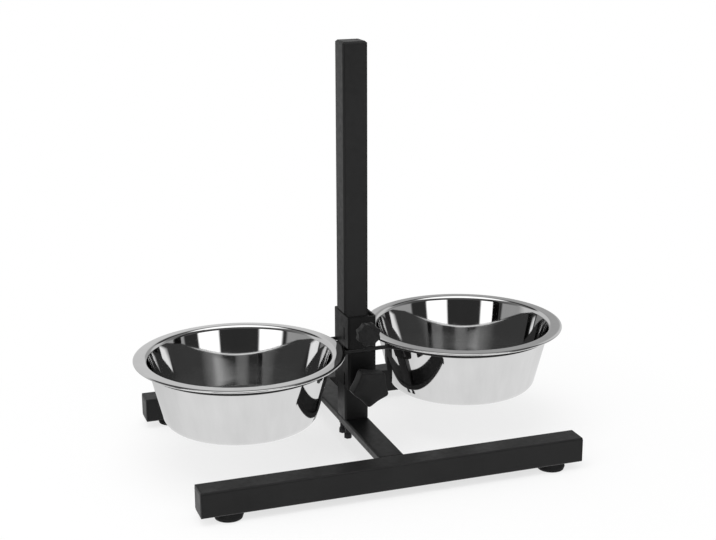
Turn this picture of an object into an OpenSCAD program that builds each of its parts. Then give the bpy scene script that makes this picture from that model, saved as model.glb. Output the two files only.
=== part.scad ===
// Dog feeder stand: two bowls hang in a bent wire frame, clamped to a post on an H-shaped base.
// Millimetres. +Z is up, +X runs along the base bars, and the origin is on the floor under the post.

/* [Tube] */
// Side of the square tube of the bars and the post
tube_side = 28; // [25:1:34]
// Wall of the square tube
tube_wall = 1.5; // [1:0.1:2]
// Outer corner radius of the square tube
tube_corner = 2.6; // [2.2:0.1:3.5]

/* [Base] */
// Length of a base bar with its end caps
bar_length = 430; // [330:1:520]
// Distance between the middles of the two bars
bar_spacing = 278; // [260:1:400]
// Width of the flat crossbar
crossbar_w = 28; // [25:1:40]
// Height of the flat crossbar
crossbar_h = 10; // [8:0.5:12]
// Wall of the flat crossbar
crossbar_wall = 1.5; // [1:0.1:2]
// Outer corner radius of the flat crossbar
crossbar_corner = 2.2; // [2.1:0.1:3]

/* [Feet] */
// Diameter of a foot
foot_d = 31; // [20:1:36]
// Height of a foot under its bar
foot_h = 8.5; // [4:0.5:14]
// Distance from a bar's end to the middle of its foot
foot_inset = 32; // [30:1:60]
// Diameter of the stem that pushes into the bar
stem_d = 8; // [6:0.5:10]
// Length of the barbed head of the stem
barb_h = 7; // [5:0.5:9]
// How far the barb stands out from the stem
barb_step = 0.7; // [0.3:0.1:1.2]
// Width of the slit that lets the stem spring in
slit_w = 1.6; // [1:0.1:2.4]

/* [End caps] */
// Thickness of the flange of a cap
cap_flange = 2; // [1:0.1:3]
// Crown of a bar's cap
bar_cap_crown = 0.6; // [0.3:0.1:1.5]
// Crown of the post's cap
post_cap_crown = 1.8; // [0.6:0.1:4]
// Bevel round the crown of a cap
cap_bevel = 2.2; // [1:0.1:3]
// Depth of the plug inside the tube
plug_depth = 14; // [10:1:22]
// Wall of the plug
plug_wall = 2; // [1.2:0.1:3]
// Number of ribs round the plug
plug_ribs = 3; // [2:1:4]
// Thickness of a rib on the plug
rib_t = 1.2; // [0.8:0.1:1.6]

/* [Post] */
// Length of the post
post_length = 423; // [320:1:600]
// Thickness of the plate in the foot of the post
plate_t = 6; // [4:0.5:10]
// Diameter of the studs that hold the post
stud_d = 5; // [4:0.5:6]
// Distance from the plate's edge to the middle of a stud
stud_edge = 3.4; // [3.2:0.1:4.5]
// Outer diameter of a washer
washer_d = 8.5; // [8:0.5:11]
// Thickness of a washer
washer_t = 1; // [0.8:0.1:1.6]
// Width across the flats of a cap nut
nut_af = 8; // [7.5:0.5:9]
// Height of the hexagon of a cap nut
nut_h = 5.5; // [3:0.5:6]
// Diameter of the round collar on top of a cap nut
collar_d = 6.6; // [6.4:0.1:7.4]
// Height of a cap nut's collar
collar_h = 7; // [2:0.5:9]
// Closed end under a cap nut's bore
nut_end = 1.5; // [1:0.1:3]

/* [Clamps] */
// Height of the lower sleeve's underside above the base
stack_z = 43; // [40:1:250]
// Wall of a sleeve
sleeve_wall = 2; // [1.5:0.1:3]
// Outer corner radius of a sleeve
sleeve_corner = 3.2; // [3.1:0.1:4]
// Room in a sleeve between the post and the front wall
sleeve_room = 18; // [17:0.5:30]
// Height of the lower sleeve
lower_sleeve_h = 43; // [36:1:60]
// Height of the upper sleeve
upper_sleeve_h = 36; // [36:1:60]
// Height of the lower screw above its sleeve's underside
lower_screw_z = 11; // [11:1:16]
// Height of the upper screw above its sleeve's underside
upper_screw_z = 22; // [18:1:24]
// Diameter of the lower screw
lower_screw_d = 8; // [6:1:8]
// Diameter of the upper screw
upper_screw_d = 6; // [5:1:8]
// Width across the flats of the lower weld nut
lower_nut_af = 13; // [12:0.5:15]
// Width across the flats of the upper weld nut
upper_nut_af = 10; // [10:0.5:13]
// Thickness of a weld nut
weld_nut_t = 6; // [4:0.5:7]
// Thickness of a pressing shoe
shoe_t = 3; // [2:0.5:4]
// Height of a pressing shoe
shoe_h = 24; // [20:1:26]
// Distance from the lower screw down to its shoe's lower edge
lower_shoe_drop = 9; // [8:0.5:9.5]
// Distance from the upper screw down to its shoe's lower edge
upper_shoe_drop = 14.5; // [12:0.5:15]
// Height of the shoe's ears
ear_h = 14; // [8:1:15]
// Way that a screw and its shoe can back off
screw_travel = 3; // [2.5:0.1:4]

/* [Knobs] */
// Diameter of the lower knob over its lobes
lower_knob_d = 43; // [34:1:48]
// Depth of the lower knob's head
lower_knob_depth = 18; // [12:1:24]
// Number of lobes of the lower knob
lower_lobes = 5; // [5:1:8]
// Depth of the hollows in the runs between the lower knob's lobes
lower_dip = 0.8; // [0:0.1:3]
// Bare screw between the lower sleeve and its knob
lower_knob_gap = 7; // [3:0.5:12]
// Turn of the tight lower knob, clockwise from a lobe that points down
lower_knob_turn = 8; // [-36:1:36]
// Diameter of the upper knob over its lobes
upper_knob_d = 27; // [20:1:32]
// Depth of the upper knob's head
upper_knob_depth = 13; // [9:1:18]
// Number of lobes of the upper knob
upper_lobes = 8; // [6:1:10]
// Depth of the hollows in the runs between the upper knob's lobes
upper_dip = 0.9; // [0:0.1:2]
// Bare screw between the upper sleeve and its knob
upper_knob_gap = 5; // [3:0.5:12]
// Turn of the tight upper knob, clockwise from a lobe that points down
upper_knob_turn = 22.5; // [-22.5:0.5:22.5]
// Radius of the tip of a knob's lobe
lobe_r = 3.6; // [2:0.2:5]
// Length of the round hub behind a knob's head
hub_l = 8; // [3:0.5:12]
// Wall of the hub round the screw
hub_wall = 5; // [3:0.5:6]
// Crown of a knob's face
knob_crown = 2.4; // [1:0.2:4]
// Bevel of a knob's back edge
knob_bevel = 1.5; // [0.8:0.1:2.5]
// Plastic left in front of the screw's end
knob_cover = 4; // [3:0.5:7]

/* [Wire frame] */
// Diameter of the wire
wire_d = 4.5; // [3.5:0.5:6]
// Radius of the bend from the neck into the ring
bend_r = 30; // [24:1:36]
// How far the frame stands turned on the post, in its play
frame_turn = 5; // [0:0.1:6]
// Width of the weld where two pieces of wire meet
weld_w = 1; // [0.6:0.1:2]
// How far that weld stands out from the wire
weld_rise = 0.05; // [0.04:0.01:0.1]
// Gap between a bowl's rim and the sleeves
bowl_gap = 5.8; // [5:0.1:20]

/* [Bowls] */
// Diameter of a bowl over its rim
rim_d = 230; // [190:2:240]
// Height of a bowl
bowl_h = 75; // [60:1:85]
// Width of the flat rim from the wall out
rim_w = 13.6; // [11:0.2:18]
// Inward slope of the wall, in degrees from upright
wall_slope = 14; // [8:0.1:20]
// Thickness of the sheet
sheet_t = 0.8; // [0.6:0.1:1.2]
// Diameter of the rolled edge
bead_d = 3.2; // [2.6:0.2:4]
// How far the rolled edge stands above the rim
bead_rise = 0.3; // [0.2:0.1:0.6]
// Radius where the wall meets the base
base_corner = 12; // [6:1:20]
// Radius where the wall meets the rim
rim_corner = 2.6; // [1.5:0.1:2.8]
// Height of the rim's top above the middle of the wire
rim_rise = 7.5; // [7:0.1:10]

/* [Fits] */
// Gap between a sleeve and the post
slide_gap = 0.3; // [0.2:0.05:0.5]
// Gap where the frame, the sleeves and the bowls rest on each other
seat_gap = 0.3; // [0.2:0.05:0.5]
// Radial gap round a screw in its nut and knob, and round a stud
thread_gap = 0.05; // [0.02:0.01:0.1]
// Gap round a plug, a plate and a stem in the holes that take them
plug_gap = 0.15; // [0.1:0.05:0.3]
// Gap round a screw or stud in a plain hole
hole_gap = 0.3; // [0.2:0.05:0.5]
// Gap between a shoe and the post
shoe_gap = 0.2; // [0.1:0.05:0.4]

/* [Hidden] */
$fn = 64;
arc_steps = 10;
lobe_steps = 20;
crown_steps = 6;
first_lobe = -90;

bar_z = foot_h + tube_side / 2;
base_top = foot_h + tube_side;
bar_y = bar_spacing / 2;
bar_tube_l = bar_length - 2 * (cap_flange + bar_cap_crown);
foot_x = bar_length / 2 - foot_inset;
tube_inner = tube_side - 2 * tube_wall;
inner_corner = tube_corner - tube_wall;
post_half = tube_side / 2;
crossbar_l = bar_spacing - tube_side;
crossbar_under = base_top - crossbar_h;

plate_side = tube_inner - 2 * plug_gap;
stud_xy = plate_side / 2 - stud_edge;
nut_top = crossbar_under - washer_t;
nut_l = collar_h + nut_h;
nut_bore_h = nut_l - nut_end;
stud_tip = nut_top - nut_bore_h + hole_gap;

sleeve_in = post_half + slide_gap;
sleeve_out = sleeve_in + sleeve_wall;
sleeve_back = sleeve_out;
sleeve_front_in = -post_half - sleeve_room;
sleeve_front = sleeve_front_in - sleeve_wall;
sleeve_mid = (sleeve_front + sleeve_back) / 2;
sleeve_depth = sleeve_back - sleeve_front;
lower_z = base_top + stack_z;
frame_z = lower_z + lower_sleeve_h + seat_gap + wire_d / 2;
upper_z = frame_z + wire_d / 2 + seat_gap;
shoe_back = -post_half - shoe_gap;
shoe_front = shoe_back - shoe_t;

rim_r = rim_d / 2;
bead_r = bead_d / 2;
wall_top_r = rim_r - rim_w;
rim_under = bowl_h - bead_rise - sheet_t;
base_r = wall_top_r - rim_under * tan(wall_slope);
bowl_z = frame_z + rim_rise - bowl_h;
seat_r = base_r + (frame_z - bowl_z) * tan(wall_slope);
ring_r = seat_r + (wire_d / 2 + seat_gap) / cos(wall_slope);
ring_x = rim_r + bowl_gap + sleeve_out;
neck_front = sleeve_front + sleeve_wall / 2;
post_reach = (post_half - neck_front) * cos(frame_turn) + post_half * sin(frame_turn);
neck_half = (post_reach + wire_d / 2 + seat_gap) / (1 + cos(frame_turn));
frame_y = neck_front + neck_half;
bend_x = ring_x - sqrt((ring_r + bend_r) ^ 2 - (neck_half + bend_r) ^ 2);
bend_angle = atan2(neck_half + bend_r, ring_x - bend_x);

// Shared outlines

function unit(v) = v / norm(v);

// Points of the arc of radius r that rounds the corner b between a and c
function round_corner(a, b, c, r) =
    let (
        u = unit(a - b),
        v = unit(c - b),
        half = acos(u * v) / 2,
        mid = b + unit(u + v) * r / sin(half),
        p = b + u * r / tan(half) - mid,
        q = b + v * r / tan(half) - mid,
        start = atan2(p.y, p.x),
        sweep = (atan2(q.y, q.x) - start + 540) % 360 - 180
    )
    [for (i = [0:arc_steps])
        let (a = start + sweep * i / arc_steps)
        mid + r * [cos(a), sin(a)]];

function reversed(list) = [for (i = [len(list) - 1:-1:0]) list[i]];

module rounded_rect(w, d, r) {
    square([w - 2 * r, d], center = true);
    square([w, d - 2 * r], center = true);
    for (sx = [-1, 1], sy = [-1, 1]) {
        translate([sx * (w / 2 - r), sy * (d / 2 - r)]) circle(r = r);
    }
}

module tube_outline() {
    rounded_rect(tube_side, tube_side, tube_corner);
}

module tube_core(gap) {
    rounded_rect(tube_inner - 2 * gap, tube_inner - 2 * gap, inner_corner);
}

module square_tube(length) {
    linear_extrude(length) difference() {
        tube_outline();
        tube_core(0);
    }
}

// Places the child at the four studs of the post
module at_studs() {
    for (sx = [-1, 1], sy = [-1, 1]) {
        translate([sx * stud_xy, sy * stud_xy, 0]) children();
    }
}

// Base

// Bar along X, with the holes for its two feet
module bar(y) {
    difference() {
        translate([-bar_tube_l / 2, y, bar_z]) rotate([90, 0, 90]) square_tube(bar_tube_l);
        for (sx = [-1, 1]) {
            translate([sx * foot_x, y, 0]) cylinder(d = stem_d + 2 * plug_gap, h = foot_h + tube_side / 2);
        }
    }
}

module front_bar() {
    color("#26272a") bar(-bar_y);
}

module rear_bar() {
    color("#26272a") bar(bar_y);
}

module crossbar() {
    color("#2a2b2e") difference() {
        translate([0, -crossbar_l / 2, base_top - crossbar_h / 2])
            rotate([-90, 0, 0]) linear_extrude(crossbar_l)
            difference() {
                rounded_rect(crossbar_w, crossbar_h, crossbar_corner);
                rounded_rect(
                    crossbar_w - 2 * crossbar_wall,
                    crossbar_h - 2 * crossbar_wall,
                    crossbar_corner - crossbar_wall
                );
            }
        translate([0, 0, crossbar_under - washer_t]) at_studs()
            cylinder(d = stud_d + 2 * hole_gap, h = crossbar_h + 2 * washer_t);
    }
}

// Plug for a tube's end: the plug hangs below z = 0, the flange and its crown stand above
module end_plug(crown) {
    core_h = plug_depth - rib_t;
    translate([0, 0, -plug_depth]) linear_extrude(plug_depth) difference() {
        tube_core(2 * plug_gap);
        tube_core(2 * plug_gap + plug_wall);
    }
    for (i = [0:plug_ribs - 1]) {
        translate([0, 0, -plug_depth + core_h * (i + 0.5) / plug_ribs]) linear_extrude(rib_t) difference() {
            tube_core(plug_gap);
            tube_core(2 * plug_gap + plug_wall / 2);
        }
    }
    hull() {
        linear_extrude(cap_flange) tube_outline($fn = 32);
        translate([0, 0, cap_flange]) linear_extrude(crown)
            rounded_rect(tube_side - 2 * cap_bevel, tube_side - 2 * cap_bevel, inner_corner, $fn = 32);
    }
}

// End cap of a bar, at the left end (side = -1) or the right end (side = 1)
module bar_cap(side, y) {
    color("#1d1e20") translate([side * bar_tube_l / 2, y, bar_z])
        rotate([0, side * 90, 0]) end_plug(bar_cap_crown);
}

module front_left_end_cap() {
    bar_cap(-1, -bar_y);
}

module front_right_end_cap() {
    bar_cap(1, -bar_y);
}

module rear_left_end_cap() {
    bar_cap(-1, bar_y);
}

module rear_right_end_cap() {
    bar_cap(1, bar_y);
}

// Push-in foot: a pad with a rounded edge, and a slit stem whose barb springs out above the tube's wall
module foot(side, y) {
    pad_r = foot_d / 2;
    stem_r = stem_d / 2;
    neck_top = foot_h + tube_wall + plug_gap;
    edge = foot_h / 4;
    color("#141416") translate([side * foot_x, y, 0]) difference() {
        rotate_extrude() polygon([
            [0, 0],
            [pad_r - 2 * edge, 0],
            [pad_r - edge / 2, edge / 2],
            [pad_r, 2 * edge],
            [pad_r - edge / 2, foot_h],
            [stem_r, foot_h],
            [stem_r, neck_top],
            [stem_r + barb_step, neck_top + barb_step],
            [stem_r - barb_step, neck_top + barb_h],
            [0, neck_top + barb_h]
        ]);
        translate([-stem_d, -slit_w / 2, foot_h + plug_gap]) cube([2 * stem_d, slit_w, barb_h + tube_wall + 1]);
    }
}

module front_left_foot() {
    foot(-1, -bar_y);
}

module front_right_foot() {
    foot(1, -bar_y);
}

module rear_left_foot() {
    foot(-1, bar_y);
}

module rear_right_foot() {
    foot(1, bar_y);
}

// Post and its fastening

module post() {
    color("#26272a") translate([0, 0, base_top]) square_tube(post_length);
}

module post_cap() {
    color("#1d1e20") translate([0, 0, base_top + post_length]) end_plug(post_cap_crown);
}

module post_foot_plate() {
    color("#55585c") translate([0, 0, base_top]) difference() {
        linear_extrude(plate_t) tube_core(plug_gap);
        translate([0, 0, -1]) at_studs() cylinder(d = stud_d + 2 * thread_gap, h = plate_t + 2);
    }
}

module post_studs() {
    color("#6a6d70") translate([0, 0, stud_tip])
        at_studs() cylinder(d = stud_d, h = base_top + plate_t - stud_tip);
}

module post_washers() {
    color("#303236") translate([0, 0, nut_top]) at_studs() difference() {
        cylinder(d = washer_d, h = washer_t);
        translate([0, 0, -1]) cylinder(d = stud_d + 2 * hole_gap, h = washer_t + 2);
    }
}

// Cap nut that hangs from z = 0: a round collar, a hexagon under it and a blind bore
module cap_nut() {
    difference() {
        union() {
            translate([0, 0, -nut_l]) cylinder(d = nut_af / cos(30), h = nut_h, $fn = 6);
            translate([0, 0, -collar_h - nut_h / 2]) cylinder(d = collar_d, h = collar_h + nut_h / 2);
        }
        translate([0, 0, -nut_bore_h]) cylinder(d = stud_d + 2 * thread_gap, h = nut_bore_h + 1);
    }
}

module post_cap_nuts() {
    color("#1b1c1e") translate([0, 0, nut_top]) at_studs() cap_nut();
}

// Clamps

// Sleeve round the post, with the screw's hole in its front wall and the ears' slots in its side walls
module sleeve(z, height, screw_z, screw_d, shoe_drop) {
    slot_y = shoe_front - screw_travel - hole_gap;
    slot_z = screw_z - shoe_drop - hole_gap;
    color("#202124") translate([0, 0, z]) difference() {
        linear_extrude(height) translate([0, sleeve_mid]) difference() {
            rounded_rect(2 * sleeve_out, sleeve_depth, sleeve_corner);
            rounded_rect(2 * sleeve_in, sleeve_depth - 2 * sleeve_wall, sleeve_corner - sleeve_wall);
        }
        translate([0, sleeve_front_in + 1, screw_z]) rotate([90, 0, 0])
            cylinder(d = screw_d + 2 * hole_gap, h = sleeve_wall + 2);
        translate([-sleeve_out - 1, slot_y, slot_z])
            cube([2 * sleeve_out + 2, shoe_back + hole_gap - slot_y, ear_h + 2 * hole_gap]);
    }
}

// Hexagon nut on the inside of a sleeve's front wall
module weld_nut(z, af, screw_d) {
    color("#4a4d50") translate([0, sleeve_front_in, z]) rotate([-90, 0, 0]) difference() {
        cylinder(d = af / cos(30), h = weld_nut_t, $fn = 6);
        translate([0, 0, -1]) cylinder(d = screw_d + 2 * thread_gap, h = weld_nut_t + 2);
    }
}

// Screw from the shoe out into the knob
module clamp_stud(z, screw_d, knob_gap, knob_depth) {
    tip = sleeve_front - knob_gap - hub_l - knob_depth + knob_cover;
    color("#7a7d80") translate([0, shoe_front, z])
        rotate([90, 0, 0]) cylinder(d = screw_d, h = shoe_front - tip);
}

// Pressing plate in front of the post, with an ear in each side wall's slot
module shoe(z) {
    plate_w = 2 * (sleeve_in - hole_gap);
    color("#2f3033") translate([0, shoe_front, z]) {
        translate([-plate_w / 2, 0, 0]) cube([plate_w, shoe_t, shoe_h]);
        translate([-sleeve_out, 0, 0]) cube([2 * sleeve_out, shoe_t, ear_h]);
    }
}

// Lobed outline: round tips joined by nearly straight runs, with its first lobe pointing down
module lobed_outline(d, lobes, dip) {
    steps = lobes * lobe_steps;
    half = 180 / lobes;
    core = d / 2 - lobe_r;
    flat = core * cos(half) + lobe_r;
    tip_end = half - atan(core * sin(half) / flat);
    polygon([for (i = [0:steps - 1])
        let (
            a = 360 * i / steps,
            off = min(a % (2 * half), 2 * half - a % (2 * half)),
            tip = core * cos(off) + sqrt(max(0, lobe_r ^ 2 - (core * sin(off)) ^ 2)),
            reach = off < tip_end ? tip : flat / cos(half - off),
            hollow = dip * (1 - cos(lobes * a)) / 2
        )
        (reach - hollow) * [cos(a + first_lobe), sin(a + first_lobe)]]);
}

// Knob along Z: the hub at z = 0, the crowned face on top, and a blind bore for the screw
module lobed_knob(d, lobes, dip, depth, screw_d) {
    top = hub_l + depth;
    r = d / 2;
    difference() {
        union() {
            cylinder(d = screw_d + 2 * hub_wall, h = hub_l + 1);
            intersection() {
                translate([0, 0, hub_l]) linear_extrude(depth) lobed_outline(d, lobes, dip);
                rotate_extrude() polygon(concat(
                    [[0, hub_l], [r - knob_bevel, hub_l], [r, hub_l + knob_bevel]],
                    [for (i = [crown_steps:-1:0])
                        let (share = i / crown_steps)
                        [r * share, top - knob_crown * share ^ 3]]
                ));
            }
        }
        translate([0, 0, -1]) cylinder(d = screw_d + 2 * thread_gap, h = top - knob_cover + 1 + thread_gap);
    }
}

module lower_sleeve() {
    sleeve(lower_z, lower_sleeve_h, lower_screw_z, lower_screw_d, lower_shoe_drop);
}

module lower_nut() {
    weld_nut(lower_z + lower_screw_z, lower_nut_af, lower_screw_d);
}

module lower_stud() {
    clamp_stud(lower_z + lower_screw_z, lower_screw_d, lower_knob_gap, lower_knob_depth);
}

module lower_shoe() {
    shoe(lower_z + lower_screw_z - lower_shoe_drop);
}

module lower_knob() {
    color("#18191b") translate([0, sleeve_front - lower_knob_gap, lower_z + lower_screw_z])
        rotate([90, lower_knob_turn, 0])
            lobed_knob(lower_knob_d, lower_lobes, lower_dip, lower_knob_depth, lower_screw_d);
}

module upper_sleeve() {
    sleeve(upper_z, upper_sleeve_h, upper_screw_z, upper_screw_d, upper_shoe_drop);
}

module upper_nut() {
    weld_nut(upper_z + upper_screw_z, upper_nut_af, upper_screw_d);
}

module upper_stud() {
    clamp_stud(upper_z + upper_screw_z, upper_screw_d, upper_knob_gap, upper_knob_depth);
}

module upper_shoe() {
    shoe(upper_z + upper_screw_z - upper_shoe_drop);
}

module upper_knob() {
    color("#18191b") translate([0, sleeve_front - upper_knob_gap, upper_z + upper_screw_z])
        rotate([90, upper_knob_turn, 0])
            lobed_knob(upper_knob_d, upper_lobes, upper_dip, upper_knob_depth, upper_screw_d);
}

// Wire frame

// Arc of wire in the frame's plane, from start to start + sweep degrees
module wire_arc(r, start, sweep) {
    rotate([0, 0, start]) rotate_extrude(angle = sweep) translate([r, 0]) circle(d = wire_d);
}

// Weld round a joint of the bend, at an angle along the bend
module wire_weld(angle) {
    rotate([0, 0, angle]) translate([bend_r, 0, 0]) rotate([90, 0, 0])
        cylinder(d = wire_d + 2 * weld_rise, h = weld_w, center = true);
}

// One half of the frame: the neck past the post, a bend outwards, and the ring
module ring_half() {
    translate([ring_x, 0, 0]) wire_arc(ring_r, 180 + bend_angle, 360 - 2 * bend_angle);
    for (back = [0, 1]) {
        mirror([0, back, 0]) {
            translate([0, -neck_half, 0]) rotate([0, 90, 0]) cylinder(d = wire_d, h = bend_x);
            translate([bend_x, -neck_half - bend_r, 0]) {
                wire_arc(bend_r, bend_angle, 90 - bend_angle);
                wire_weld(bend_angle);
                wire_weld(90);
            }
        }
    }
}

// Places the child at the frame's middle, with the frame's turn on the post
module on_frame() {
    translate([0, frame_y, frame_z]) rotate([0, 0, frame_turn]) children();
}

module left_ring() {
    color("#1c1d1f") on_frame() mirror([1, 0, 0]) ring_half();
}

module right_ring() {
    color("#1c1d1f") on_frame() ring_half();
}

// Bowls

// Outline of the sheet at the depth s below its outer face, from the axis out to the rolled edge
function sheet_line(s) =
    let (
        rim_level = rim_under + s,
        foot_r = base_r - s / cos(wall_slope),
        axis = [0, s],
        base = [foot_r + s * tan(wall_slope), s],
        shoulder = [foot_r + rim_level * tan(wall_slope), rim_level],
        edge = [rim_r - bead_r, rim_level]
    )
    concat(
        [axis],
        round_corner(axis, base, shoulder, base_corner - s),
        round_corner(base, shoulder, edge, rim_corner + s),
        [edge]
    );

module bowl() {
    color("#c9ccd0") rotate_extrude() {
        polygon(concat(sheet_line(0), reversed(sheet_line(sheet_t))));
        translate([rim_r - bead_r, bowl_h - bead_r]) circle(d = bead_d);
    }
}

module left_bowl() {
    on_frame() translate([-ring_x, 0, bowl_z - frame_z]) bowl();
}

module right_bowl() {
    on_frame() translate([ring_x, 0, bowl_z - frame_z]) bowl();
}

front_bar();
rear_bar();
crossbar();
front_left_end_cap();
front_right_end_cap();
rear_left_end_cap();
rear_right_end_cap();
front_left_foot();
front_right_foot();
rear_left_foot();
rear_right_foot();
post();
post_cap();
post_foot_plate();
post_studs();
post_washers();
post_cap_nuts();
lower_sleeve();
lower_nut();
lower_stud();
lower_shoe();
lower_knob();
upper_sleeve();
upper_nut();
upper_stud();
upper_shoe();
upper_knob();
left_ring();
right_ring();
left_bowl();
right_bowl();
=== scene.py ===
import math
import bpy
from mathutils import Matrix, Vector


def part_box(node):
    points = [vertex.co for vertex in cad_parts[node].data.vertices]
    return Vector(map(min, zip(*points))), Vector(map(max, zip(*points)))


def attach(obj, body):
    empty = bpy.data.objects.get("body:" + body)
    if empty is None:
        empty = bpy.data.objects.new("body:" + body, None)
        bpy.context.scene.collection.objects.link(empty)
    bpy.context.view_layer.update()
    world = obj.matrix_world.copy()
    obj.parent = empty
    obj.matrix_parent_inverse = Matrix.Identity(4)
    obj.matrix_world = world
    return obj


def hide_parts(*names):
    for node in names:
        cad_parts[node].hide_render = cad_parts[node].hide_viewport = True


bl_info = {
    "name": "Dog feeder stand",
    "version": (1, 0, 0),
    "blender": (4, 5, 0),
    "location": "3D View > Sidebar > Feeder",
    "description": "Dresses a dog feeder stand: steel bowls in a wire frame, clamped to a post on a base",
    "category": "Object",
}

import bmesh
import bpy
from bpy.props import FloatProperty, FloatVectorProperty, IntProperty, PointerProperty
from mathutils import Matrix, Vector

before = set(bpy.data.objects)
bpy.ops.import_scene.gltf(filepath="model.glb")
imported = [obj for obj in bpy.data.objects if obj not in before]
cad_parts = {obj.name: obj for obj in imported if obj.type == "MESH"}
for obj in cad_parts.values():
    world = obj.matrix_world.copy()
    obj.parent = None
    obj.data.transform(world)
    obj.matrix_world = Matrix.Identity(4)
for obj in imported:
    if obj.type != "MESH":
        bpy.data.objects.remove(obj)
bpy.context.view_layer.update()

WHITE = (1.0, 1.0, 1.0, 1.0)


def middle(node):
    """Middle of a solid's box at rest."""
    low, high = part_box(node)
    return (low + high) / 2


# Sizes and finishes that a user would change


def length(name, text, value):
    """A length in metres for the sidebar."""
    return FloatProperty(name=name, description=text, default=value, min=0.0, precision=5, unit="LENGTH")


def angle(name, text, degrees):
    """An angle for the sidebar, given here in degrees."""
    return FloatProperty(name=name, description=text, default=math.radians(degrees), unit="ROTATION")


def count(name, text, value, low, high):
    """A whole number for the sidebar."""
    return IntProperty(name=name, description=text, default=value, min=low, max=high)


def colour(name, text, value):
    """A colour for the sidebar."""
    return FloatVectorProperty(
        name=name, description=text, default=value, min=0.0, max=1.0, size=4, subtype="COLOR"
    )


class FeederBowlSizes(bpy.types.PropertyGroup):
    """Sizes of a bowl, the same for both."""

    rim_d: length("Rim diameter", "Diameter over the rolled edge", 0.230)
    height: length("Height", "Height from the base to the top of the rim", 0.075)
    rim_w: length("Rim width", "Width of the flat rim from the wall out", 0.0136)
    slope: angle("Wall slope", "Lean of the wall from upright", 14.0)
    sheet: length("Sheet", "Thickness of the steel sheet", 0.0008)
    bead_d: length("Rolled edge", "Diameter of the rolled edge", 0.0020)
    roll_r: length("Edge roll", "Radius by which the rim bends down to its rolled edge", 0.008)
    roll_fall: angle("Edge fall", "Fall of the rim where its rolled edge begins", 22.0)
    rim_fall: angle("Rim fall", "Fall of the rim towards its edge", 3.0)
    base_corner: length("Base corner", "Radius where the wall meets the base", 0.012)
    rim_corner: length("Rim corner", "Radius where the wall meets the rim", 0.0045)
    segments: count("Segments", "Steps round the bowl", 192, 48, 512)


class FeederWireSizes(bpy.types.PropertyGroup):
    """Sizes of the wire frame."""

    wire_d: length("Wire", "Diameter of the wire", 0.0045)
    bend_r: length("Bend", "Radius of the bend from the neck into the ring", 0.030)
    ring_x: length("Ring offset", "Distance from the middle of the frame to the middle of a ring", 0.1371)
    ring_r: length("Ring radius", "Radius of a ring at the middle of its wire", 0.10243)
    neck_half: length("Neck", "Half the distance between the two neck wires", 0.025344)
    turn: angle("Turn", "How far the frame stands turned on the post", 5.0)
    weld_swell: FloatProperty(
        name="Weld swell",
        description="Share by which the wire is thicker at the weld",
        default=0.16,
        min=0.0,
        max=0.5,
    )
    weld_l: length("Weld reach", "Distance from the weld over which the swell runs out", 0.0016)


class FeederScrewSizes(bpy.types.PropertyGroup):
    """Sizes of the clamp screws and their knobs."""

    lower_d: length("Lower screw", "Outer diameter of the lower screw", 0.008)
    lower_pitch: length("Lower pitch", "Pitch of the lower screw's thread", 0.00125)
    upper_d: length("Upper screw", "Outer diameter of the upper screw", 0.006)
    upper_pitch: length("Upper pitch", "Pitch of the upper screw's thread", 0.001)
    lower_knob_d: length("Lower knob", "Diameter of the lower knob over its lobes", 0.043)
    upper_knob_d: length("Upper knob", "Diameter of the upper knob over its lobes", 0.027)
    lower_lobes: count("Lower lobes", "Lobes of the lower knob", 5, 3, 12)
    upper_lobes: count("Upper lobes", "Lobes of the upper knob", 8, 3, 12)
    lower_dip: length("Lower hollows", "Depth of the hollows between the lower knob's lobes", 0.0008)
    upper_dip: length("Upper hollows", "Depth of the hollows between the upper knob's lobes", 0.0009)
    lobe_r: length("Lobe tip", "Radius of the tip of a lobe", 0.0036)
    lower_turn: angle("Lower turn", "Turn of the lower knob, clockwise from a lobe that points down", 8.0)
    upper_turn: angle("Upper turn", "Turn of the upper knob, clockwise from a lobe that points down", 22.5)
    hub_l: length("Hub", "Length of the round hub behind a knob's head", 0.008)
    hub_wall: length("Hub wall", "Wall of the hub round the screw", 0.005)
    bore_play: length("Bore play", "Room between the screw and the bore of its knob", 0.00005)


class FeederFinishes(bpy.types.PropertyGroup):
    """Colours of the finishes."""

    coat: colour("Powder coat", "Satin coat on the tubes and the wire", (0.0125, 0.0125, 0.0126, 1.0))
    # Clamp coat: a darker copy of the tube coat, painted shade for the knobs' shadow and dark reflection on
    # the sleeves
    clamp_coat: colour("Clamp coat", "Darker coat on the sleeves and shoes", (0.0070, 0.0070, 0.0071, 1.0))
    plastic: colour("Plastic", "Knobs and end caps", (0.0140, 0.0140, 0.0142, 1.0))
    rubber: colour("Rubber", "Feet", (0.0070, 0.0070, 0.0072, 1.0))
    black_steel: colour("Blackened steel", "Nuts and washers under the post", (0.020, 0.020, 0.021, 1.0))
    zinc: colour("Zinc", "Screws, studs and weld nuts", (0.40, 0.41, 0.43, 1.0))
    steel: colour("Polished steel", "Bowls", (0.645, 0.645, 0.645, 1.0))
    floor: colour("Floor", "Plain pale floor", (0.93, 0.93, 0.93, 1.0))


# Materials


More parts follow.
